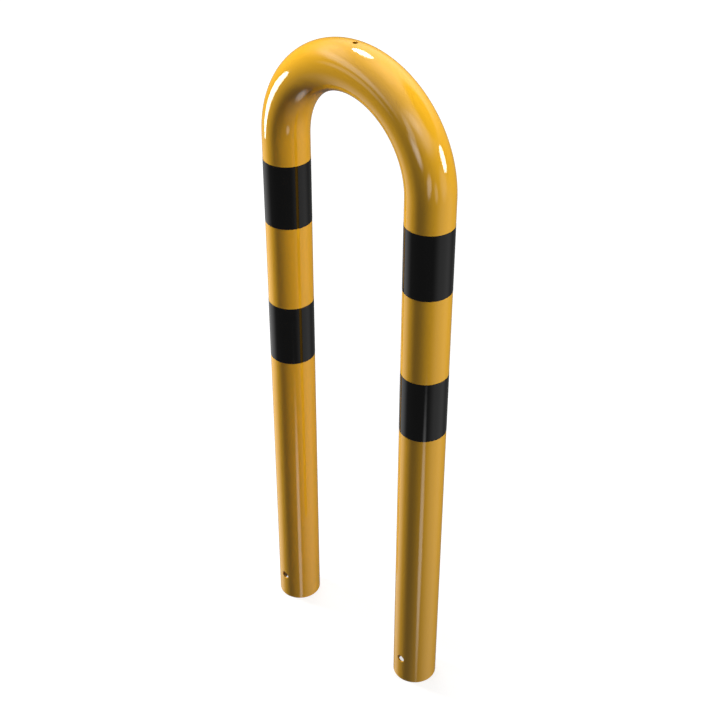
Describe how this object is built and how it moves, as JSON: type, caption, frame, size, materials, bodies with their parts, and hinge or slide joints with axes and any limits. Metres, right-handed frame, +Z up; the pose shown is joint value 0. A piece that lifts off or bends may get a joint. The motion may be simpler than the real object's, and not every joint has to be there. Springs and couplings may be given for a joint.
{
  "type": "steel hoop barrier",
  "caption": "Bent round steel tube hoop on two straight legs, with dark warning bands round each leg and cross holes near the feet for anchor bars.",
  "frame": {"origin": "midway between the legs at the height of their cut ends", "axes": "+Z up along the legs, X across the legs, +Y through the hoop"},
  "size_m": [0.3814, 0.0774, 1.1499],
  "materials": {
    "yellow_coat": "gloss powder coat over galvanised steel",
    "black_film": "gloss self-adhesive film"
  },
  "bodies": {
    "root": {"hoop_tube": "yellow_coat", "band_left_lower": "black_film", "band_left_upper": "black_film", "band_right_lower": "black_film", "band_right_upper": "black_film"}
  },
  "joints": []
}
